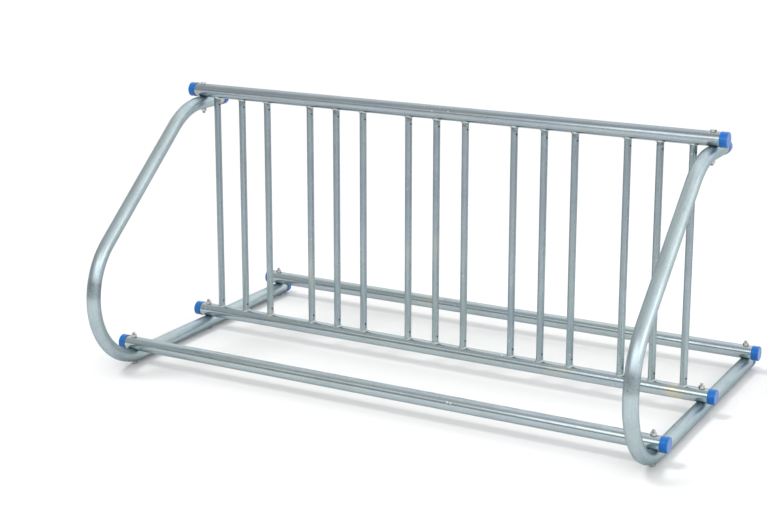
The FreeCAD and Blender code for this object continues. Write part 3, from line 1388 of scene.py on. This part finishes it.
@dataclass
class BarGrid:
    """The upright bars between the grid's two rails, with their vents and weld beads."""

    layout: Layout
    radius: float = 9.525 * MM
    wall: float = 1.65 * MM
    sides: int = 48
    rings: int = 12
    vent_radius: float = 2.5 * MM
    vent_offset: float = 19.0 * MM
    vent_turn: float = math.radians(-25.0)
    bead_radius: float = 2.2 * MM
    ripples: float = 15.0
    bead_seed: float = 4.0

    def nodes(self) -> list[str]:
        """The bars' CAD nodes, in order."""
        return sorted(name for name in frame["nodes"] if name.startswith("grid_bar_"))

    def places(self) -> list[float]:
        """X of each bar's axis."""
        boxes = [node_box(node) for node in self.nodes()]
        return [(low.x + high.x) / 2 for low, high in boxes]

    def coped_ring(self, radius: float, share: float) -> np.ndarray:
        """A ring of the bar's skin, shaped to the rails at the bar's two ends.

        Args:
            radius: the ring's radius.
            share: 0 at the bottom rail to 1 at the top rail.

        Returns:
            The points, N by 3, for a bar that stands at X = 0.
        """
        y, low = self.layout.axis("grid_bottom_rail")
        high = self.layout.axis("grid_top_rail")[1]
        ring = circle(radius, 0.0, self.sides)
        reach = np.sqrt(self.layout.tube_radius ** 2 - ring[:, 1] ** 2)
        ring[:, 2] = (low + reach) * (1 - share) + (high - reach) * share
        ring[:, 1] += y
        return ring

    def master(self) -> Thing:
        """One hollow bar at X = 0, with its two vents drilled.

        Returns:
            A worker object.
        """
        shares = np.linspace(0.0, 1.0, self.rings)
        rings = [self.coped_ring(self.radius, share) for share in shares]
        rings += [self.coped_ring(self.radius - self.wall, share) for share in shares[::-1]]
        bar = new_object("bar_master", ring_mesh("bar_master", rings, closed=True))
        y, low = self.layout.axis("grid_bottom_rail")
        high = self.layout.axis("grid_top_rail")[1]
        offset = self.layout.tube_radius + self.vent_offset
        for number, z in enumerate((low + offset, high - offset)):
            pin = [circle(0.0, 0.0, 20), circle(self.vent_radius, 0.0, 20),
                   circle(self.vent_radius, 2 * self.radius, 20), circle(0.0, 2 * self.radius, 20)]
            mesh = ring_mesh("vent", pin)
            turn = Matrix.Rotation(self.vent_turn, 4, "Z") @ Matrix.Rotation(math.pi / 2, 4, "Y")
            mesh.transform(Matrix.Translation((0.0, y, z)) @ turn)
            drill = new_object("vent_%d" % number, mesh)
            cut = bar.modifiers.new(drill.name, "BOOLEAN")
            cut.operation, cut.object, cut.solver = "DIFFERENCE", drill, "EXACT"
        drilled = finished_mesh(bar)
        points = points_of(drilled)
        # hollow: how deep a point lies into the wall, which the zinc materials paint near-black as shade.
        depth = self.radius - np.hypot(points[:, 0], points[:, 1] - y)
        hollow = drilled.attributes.new("hollow", "FLOAT", "POINT")
        hollow.data.foreach_set("value", np.clip(depth / self.wall, 0, 1).astype(np.float32))
        for number in range(2):
            bpy.data.objects.remove(bpy.data.objects["vent_%d" % number])
        return new_object("bar_master", drilled)

    def build_bars(self, tree: Tree, material: Material) -> Thing:
        """Stands a bar at each place.

        Args:
            tree: the placed_row tree.
            material: the bars' finish.

        Returns:
            The piece.
        """
        places = [Vector((x, 0.0, 0.0)) for x in self.places()]
        mesh = place_copies(self.master(), places, [Euler()] * len(places), tree, material)
        smooth(mesh, 40.0)
        return dress(mesh, "grid_bars", self.nodes())

    def build_beads(self, tree: Tree, material: Material) -> Thing:
        """Lays a bead round both ends of each bar.

        Args:
            tree: the weld_bead tree.
            material: the weld's finish.

        Returns:
            The piece.
        """
        y, low = self.layout.axis("grid_bottom_rail")
        high = self.layout.axis("grid_top_rail")[1]
        places, turns = [], []
        for x in self.places():
            places += [Vector((x, y, low)), Vector((x, y, high))]
            turns += [Euler(), Euler((math.pi, 0.0, 0.0))]
        worker = new_object("beads", point_cloud_mesh("beads", places, turns))
        add_tree(worker, tree, {"Bar Radius": self.radius, "Rail Radius": self.layout.tube_radius,
                                "Bead Radius": self.bead_radius, "Ripples": self.ripples,
                                "Seed": self.bead_seed, "Material": material})
        mesh = finished_mesh(worker)
        face_outward(mesh)
        smooth(mesh, 80.0)
        return dress(mesh, "weld_beads", ["bottom_weld_beads", "top_weld_beads"])


def place_copies(master: Thing, places: list[Vector], turns: list[Euler],
                 tree: Tree, material: Material,
                 roll: float = 0.0, seed: int = 1) -> Mesh:
    """Sets copies of a master with the placed_row tree, and removes the master.

    Args:
        master: the worker object to copy.
        places: where the copies go.
        turns: how each is turned.
        tree: the placed_row tree.
        material: the copies' finish.
        roll: the largest random roll on the master's own Z axis.
        seed: picks the rolls.

    Returns:
        One mesh of all the copies.
    """
    worker = new_object("row", point_cloud_mesh("row", places, turns))
    add_tree(worker, tree, {"Master": master, "Roll": roll, "Seed": seed, "Material": material})
    mesh = finished_mesh(worker)
    bpy.data.objects.remove(master)
    return mesh


# -------------------------------------------------------------------- fasteners

@dataclass
class PlatedBolts:
    """The hex bolts and nuts that clamp each rail to each end frame."""

    layout: Layout
    radius: float = 4.7625 * MM
    across_flats: float = 14.3 * MM
    face_radius: float = 6.7 * MM
    nut_height: float = 8.3 * MM
    pitch: float = 1.5875 * MM
    thread_depth: float = 0.75 * MM
    thread_flank: float = 1.35
    thread_root: float = 0.15
    threaded: float = 27.0 * MM
    tip: float = 1.2 * MM
    tip_taper: float = 0.9
    chamfer: float = 1.0 * MM
    chamfer_rings: int = 5
    chamfer_angle: float = math.radians(30)
    clearance: float = 0.05 * MM
    countersink: float = 0.5 * MM
    steps: int = 72
    thread_sides: int = 36
    rings_per_turn: int = 8
    sharp_from: float = 28.0
    head_height: float = 6.0 * MM

    def hex_ring(self, z: float, from_face: float) -> np.ndarray:
        """A ring of a hexagon whose corners are turned off near a face.

        Args:
            z: the ring's height.
            from_face: how far it is from the chamfered face.

        Returns:
            The points, N by 3.
        """
        ring = circle(1.0, z, self.steps)
        turn = np.arange(self.steps) * math.tau / self.steps
        flat = self.across_flats / 2 / np.cos((turn + math.pi / 6) % (math.pi / 3) - math.pi / 6)
        cone = self.face_radius + from_face / math.tan(self.chamfer_angle)
        ring[:, :2] *= np.minimum(flat, cone)[:, None]
        return ring

    def thread_ring(self, z: float, major: float) -> np.ndarray:
        """A ring of the threaded shank.

        Args:
            z: the ring's height.
            major: the thread's outer radius there.

        Returns:
            The points, N by 3.
        """
        ring = circle(1.0, z, self.thread_sides)
        turn = np.arange(self.thread_sides) / self.thread_sides
        phase = (z / self.pitch - turn) % 1.0
        groove = np.clip(self.thread_flank * (1 - np.abs(2 * phase - 1)) - self.thread_root, 0, 1)
        crest = np.minimum(self.radius - self.thread_depth * (1 - groove), major)
        ring[:, :2] *= crest[:, None]
        return ring

    def bolt(self, length: float) -> Thing:
        """A bolt that points up, with its head's bearing face at Z = 0.

        Args:
            length: under the head.

        Returns:
            A worker object.
        """
        chamfer = np.linspace(0.0, self.chamfer, self.chamfer_rings)
        plain = length - self.threaded
        rings = [circle(0.0, -self.head_height, self.steps)]
        rings += [self.hex_ring(-self.head_height + step, step) for step in chamfer]
        rings += [self.hex_ring(0.0, self.head_height)]
        rings += [circle(self.radius, 0.0, self.steps), circle(self.radius, plain, self.steps)]
        rings += [circle(0.0, plain, self.steps)]
        bolt = bmesh.new()
        bolt.from_mesh(ring_mesh("bolt_head", rings))
        count = int(self.threaded / self.pitch * self.rings_per_turn)
        thread = [circle(0.0, plain, self.thread_sides)]
        for z in np.linspace(plain, length, count):
            turned_off = max(0.0, self.tip - (length - z)) * self.tip_taper
            thread.append(self.thread_ring(z, self.radius - turned_off))
        thread += [circle(0.0, length, self.thread_sides)]
        bolt.from_mesh(ring_mesh("bolt_thread", thread))
        mesh = bpy.data.meshes.new("bolt_master")
        bolt.to_mesh(mesh)
        bolt.free()
        return new_object("bolt_master", mesh)

    def nut(self) -> Thing:
        """A nut that stands on Z = 0, chamfered at both faces, with a countersunk bore.

        Returns:
            A worker object.
        """
        bore, top, sink = self.radius + self.clearance, self.nut_height, self.countersink
        chamfer = np.linspace(0.0, self.chamfer, self.chamfer_rings)
        rings = [circle(bore, 0.0, self.steps)]
        rings += [self.hex_ring(step, step) for step in chamfer]
        rings += [self.hex_ring(top - step, step) for step in chamfer[::-1]]
        rings += [circle(bore + sink, top, self.steps), circle(bore, top - sink, self.steps)]
        return new_object("nut_master", ring_mesh("nut_master", rings, closed=True))

    def crossings(self) -> list[tuple[str, Vector, Euler]]:
        """Where the bolts stand.

        Returns:
            The rail's node, the head's bearing point and the bolt's turn, for each bolt.
        """
        found = []
        for rail in self.layout.rails:
            y, _ = self.layout.axis(rail)
            for x in self.layout.frame_places().values():
                if rail == "grid_top_rail":
                    found.append((rail, Vector((x, y, self.layout.seat(rail))), Euler((math.pi, 0.0, 0.0))))
                else:
                    found.append((rail, Vector((x, y, self.head_height)), Euler()))
        return found

    def build_bolts(self, tree: Tree, material: Material) -> Thing:
        """Sets a bolt at each crossing.

        Args:
            tree: the placed_row tree.
            material: their finish.

        Returns:
            The piece.
        """
        low, high = node_box("front_rail_bolts")
        found = self.crossings()
        master = self.bolt(high.z - low.z - self.head_height)
        mesh = place_copies(master, [place for _, place, _ in found], [turn for _, _, turn in found],
                            tree, material, roll=math.tau, seed=3)
        smooth(mesh, self.sharp_from)
        return dress(mesh, "bolts", [rail + "_bolts" for rail in self.layout.rails])

    def build_nuts(self, tree: Tree, material: Material) -> Thing:
        """Sets a nut at each crossing.

        Args:
            tree: the placed_row tree.
            material: their finish.

        Returns:
            The piece.
        """
        places, turns = [], []
        for rail, place, turn in self.crossings():
            low, high = node_box(rail + "_nuts")
            seat = high.z if rail == "grid_top_rail" else low.z
            places.append(Vector((place.x, place.y, seat)))
            turns.append(turn)
        mesh = place_copies(self.nut(), places, turns, tree, material, roll=math.tau, seed=8)
        smooth(mesh, self.sharp_from)
        return dress(mesh, "nuts", [rail + "_nuts" for rail in self.layout.rails])


# ---------------------------------------------------------------------- end caps

@dataclass
class EndCaps:
    """The soft caps on the rails' ends, the feet and the stubs."""

    layout: Layout
    fit: float = 0.1 * MM
    wall: float = 1.3 * MM
    end: float = 2.0 * MM
    grip: float = 18.0 * MM
    edge: float = 1.5 * MM
    lip: float = 0.35 * MM
    draft: float = 0.15 * MM
    sides: int = 80

    def master(self) -> Thing:
        """A cap whose tube ends at Z = 0 and comes from below.

        Returns:
            A worker object.
        """
        inner = self.layout.tube_radius + self.fit
        outer = inner + self.wall
        rings = [circle(0.0, self.end, self.sides)]
        rings += [circle(share * (outer - self.edge), self.end, self.sides) for share in (0.4, 0.8)]
        for degrees in range(0, 91, 15):
            turn = math.radians(degrees)
            rings.append(circle(outer - self.edge + self.edge * math.sin(turn),
                                self.end - self.edge + self.edge * math.cos(turn), self.sides))
        for share in (0.15, 0.5, 0.8):
            rings.append(circle(outer - self.draft * share, -self.grip * share, self.sides))
        for degrees in range(0, 181, 30):
            turn = math.radians(degrees)
            middle = (inner + outer) / 2
            rings.append(circle(middle + (outer - middle) * math.cos(turn),
                                -self.grip + self.lip - self.lip * math.sin(turn), self.sides))
        rings += [circle(inner, -self.grip / 2, self.sides), circle(inner, 0.0, self.sides)]
        rings += [circle(0.0, 0.0, self.sides)]
        return new_object("cap_master", ring_mesh("cap_master", rings))

    def places(self) -> tuple[list[Vector], list[Euler]]:
        """Where the caps go.

        Returns:
            The tube end's centre and the cap's turn, for each cap.
        """
        places, turns = [], []
        for rail in self.layout.rails:
            low, high = node_box(rail)
            y, z = self.layout.axis(rail)
            places += [Vector((low.x, y, z)), Vector((high.x, y, z))]
            turns += [Euler((0.0, -math.pi / 2, 0.0)), Euler((0.0, math.pi / 2, 0.0))]
        for node in ("foot_caps", "stub_caps"):
            low, high = node_box(node)
            for x in self.layout.frame_places().values():
                places.append(Vector((x, high.y - self.end, (low.z + high.z) / 2)))
                turns.append(Euler((-math.pi / 2, 0.0, 0.0)))
        return places, turns

    def build(self, tree: Tree, material: Material) -> Thing:
        """Pushes a cap on every open end.

        Args:
            tree: the placed_row tree.
            material: their finish.

        Returns:
            The piece.
        """
        places, turns = self.places()
        mesh = place_copies(self.master(), places, turns, tree, material, roll=math.tau, seed=5)
        smooth(mesh, 40.0)
        replaced = [rail + "_caps" for rail in self.layout.rails] + ["foot_caps", "stub_caps"]
        return dress(mesh, "end_caps", replaced)


# ------------------------------------------------------------------------ studio

@dataclass(frozen=True)
class SoftBox:
    """A rectangular lamp that is turned to the rack."""

    name: str
    place: Place
    size: Span
    power: float
    target: Place

    def hang(self) -> None:
        """Adds the lamp."""
        data = bpy.data.lights.new(self.name, "AREA")
        data.shape, data.size, data.size_y, data.energy = "RECTANGLE", *self.size, self.power
        lamp = new_object(self.name, data)
        lamp.location = self.place
        lamp.rotation_euler = (Vector(self.target) - Vector(self.place)).to_track_quat("-Z", "Y").to_euler()


@dataclass
class Studio:
    """The pale floor, the soft light round it and the camera."""

    floor_size: float = 80.0
    backdrop_top: float = 0.04
    dark_horizon: float = 0.28
    dark_top: float = 0.64
    dark_rise: Span = (0.02, 0.45)
    bright_side: float = 1.36
    bright_way: Place = (0.48, 0.86, 0.10)
    bright_spread: float = 0.45
    sun_level: float = 1.50
    sun_width: float = 18.0
    sun_way: Place = (0.44, 0.46, -1.0)
    image_width: float = 767.0
    sensor: float = 36.0
    focal_pixels: float = 1590.3
    shift: float = -0.1
    eye: Place = (1.9110, -3.7092, 1.4868)
    azimuth: float = 28.84
    elevation: float = 12.6
    soft_boxes: tuple[SoftBox, ...] = (
        SoftBox("front_soft_box", (1.5, -2.8, 1.98), (4.6, 1.7), 42.0, (1.5, 0.1, 0.3)),
        SoftBox("right_soft_box", (4.1, -0.7, 1.98), (3.2, 1.5), 24.0, (0.7, -0.3, 0.3)),
        SoftBox("left_soft_box", (-1.55, -2.8, 2.1), (1.4, 0.9), 2.0, (-1.2, 0.1, 0.3)),
    )

    def lay_floor(self) -> Thing:
        """Lays the floor.

        Returns:
            The floor.
        """
        half = self.floor_size / 2
        mesh = bpy.data.meshes.new("floor")
        mesh.from_pydata([(-half, -half, 0), (half, -half, 0), (half, half, 0), (-half, half, 0)],
                         [], [(0, 1, 2, 3)])
        mesh.materials.append(StudioFloor().build())
        floor = new_object("floor", mesh)
        return floor

    def light_world(self) -> None:
        """Lights the room: grey, lighter upward, brightest to the rear right, over a backdrop.

        The eye sees the backdrop as white all round.  The metal mirrors it as a low white band
        under the room.
        """
        world = bpy.data.worlds.new("studio")
        world.use_nodes = True
        bpy.context.scene.world = world
        nodes = Nodes(world.node_tree)
        way = nodes.add("ShaderNodeTexCoord").outputs["Generated"]
        toward = nodes.add("ShaderNodeVectorMath", {0: way, 1: self.bright_way},
                           operation="DOT_PRODUCT").outputs["Value"]
        up = nodes.parts(way)[2]
        dark = nodes.span(up, *self.dark_rise, self.dark_horizon, self.dark_top)
        room = nodes.span(toward, -self.bright_spread, self.bright_spread, dark, self.bright_side)
        ray = nodes.add("ShaderNodeLightPath").outputs
        low_band = nodes.math("LESS_THAN", up, self.backdrop_top)
        mirrored = nodes.math("MULTIPLY", ray["Is Glossy Ray"], low_band)
        looked_at = nodes.math("MAXIMUM", ray["Is Camera Ray"], ray["Is Transmission Ray"])
        white = nodes.math("MAXIMUM", looked_at, mirrored)
        level = nodes.span(white, 0.0, 1.0, room, 1.0)
        nodes.feed(world.node_tree.nodes["Background"].inputs["Color"], level)

    def hang_lamps(self) -> None:
        """Hangs the soft boxes that shine on the metal, and the sun that casts the shadow.

        The sun is as wide as a large soft box, and the metal doesn't mirror it.
        """
        for box in self.soft_boxes:
            box.hang()
        data = bpy.data.lights.new("sun", "SUN")
        data.energy, data.angle = self.sun_level, math.radians(self.sun_width)
        sun = new_object("sun", data)
        sun.rotation_euler = Vector(self.sun_way).to_track_quat("-Z", "Y").to_euler()
        sun.visible_glossy = False

    def set_camera(self) -> Thing:
        """Puts the camera at the photograph's place and angle.

        Returns:
            The camera.
        """
        data = bpy.data.cameras.new("camera")
        data.lens = self.focal_pixels / self.image_width * self.sensor
        data.sensor_width = self.sensor
        data.shift_y = self.shift
        camera = new_object("camera", data)
        turn, tilt = math.radians(self.azimuth), math.radians(self.elevation)
        look = Vector((-math.sin(turn) * math.cos(tilt), math.cos(turn) * math.cos(tilt), -math.sin(tilt)))
        camera.location = self.eye
        camera.rotation_euler = look.to_track_quat("-Z", "Y").to_euler()
        bpy.context.scene.camera = camera
        return camera


# ------------------------------------------------------------------------- main

def main() -> None:
    """Builds the rack's pieces in order, then the studio."""
    logging.basicConfig(level=logging.INFO, format="%(name)s %(message)s")
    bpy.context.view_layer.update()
    skin, handling = ZincPattern().build(), HandlingPattern().build()
    layout = Layout()
    welds = (node_box("grid_bottom_rail")[1].z, node_box("grid_top_rail")[0].z)
    stub_spots = tuple((x, node_box("stub_caps")[0].y - 12 * MM, node_box("stub_caps")[0].z)
                       for x in layout.frame_places().values())
    straw_spot = layout.beside("grid_bottom_rail", 0.700, 17 * MM, 0.0)
    scuffs = tuple(layout.beside("front_rail", x, 17.5 * MM, 7.5 * MM) for x in (0.228, 0.237))
    frame_zinc = ZincTube("frame_zinc", Lie.ALONG_PATH, tint=(0.455, 0.535, 0.55),
                          tarnish=(0.325, 0.40, 0.42), roughness=0.36, clouds=0.45, spangle=0.22,
                          # grip wear and a painted dark reflection band, 1.116 m along the frame tube
                          grip_and_reflection_marks=(1.116,), warm_spots=stub_spots).build(skin)
    rail_zinc = ZincTube("rail_zinc", Lie.ALONG_X, tint=(0.45, 0.52, 0.53),
                         tarnish=(0.31, 0.37, 0.39), roughness=0.20, bump=0.09 * MM, spangle=0.15,
                         warm_spots=(straw_spot,), scuffs=scuffs).build(skin)
    # The top rail's zinc is the rails' zinc darkened: painted shade for its darker underside.
    shaded_top_zinc = ZincTube("shaded_top_rail_zinc", Lie.ALONG_X, tint=(0.385, 0.44, 0.46),
                        tarnish=(0.25, 0.30, 0.32), roughness=0.25, bump=0.09 * MM).build(skin)
    # The bars' zinc is darker than the rails': painted shade for the darker surroundings the bars reflect.
    shaded_bar_zinc = ZincTube("shaded_bar_zinc", Lie.ALONG_Z, tint=(0.355, 0.425, 0.435),
                        tarnish=(0.23, 0.29, 0.31), roughness=0.30, streaks=0.28, weld_heights=welds,
                        # painted shade: the bars darken and turn bluer from 50 mm to 450 mm over the bottom
                        # rail's weld
                        shade_heights=(welds[0] + 50 * MM, welds[0] + 450 * MM)).build(skin)
    tube_tree, row_tree, bead_tree = swept_tube_tree(), placed_row_tree(), BeadForm().tree()
    for side in ("left", "right"):
        EndFrame(side, layout).build(tube_tree, frame_zinc)
    for rail in layout.rails:
        Rail(rail, layout).build(tube_tree, shaded_top_zinc if rail == "grid_top_rail" else rail_zinc)
    grid = BarGrid(layout)
    grid.build_bars(row_tree, shaded_bar_zinc)
    grid.build_beads(bead_tree, WeldMetal().build(handling))
    hardware = PlatedHardware().build(handling)
    fasteners = PlatedBolts(layout)
    fasteners.build_bolts(row_tree, hardware)
    fasteners.build_nuts(row_tree, hardware)
    EndCaps(layout).build(row_tree, SoftVinyl().build(handling))
    studio = Studio()
    studio.lay_floor()
    studio.light_world()
    studio.hang_lamps()
    studio.set_camera()
    bpy.context.scene.view_settings.view_transform = "Standard"


if __name__ == "__main__":
    main()
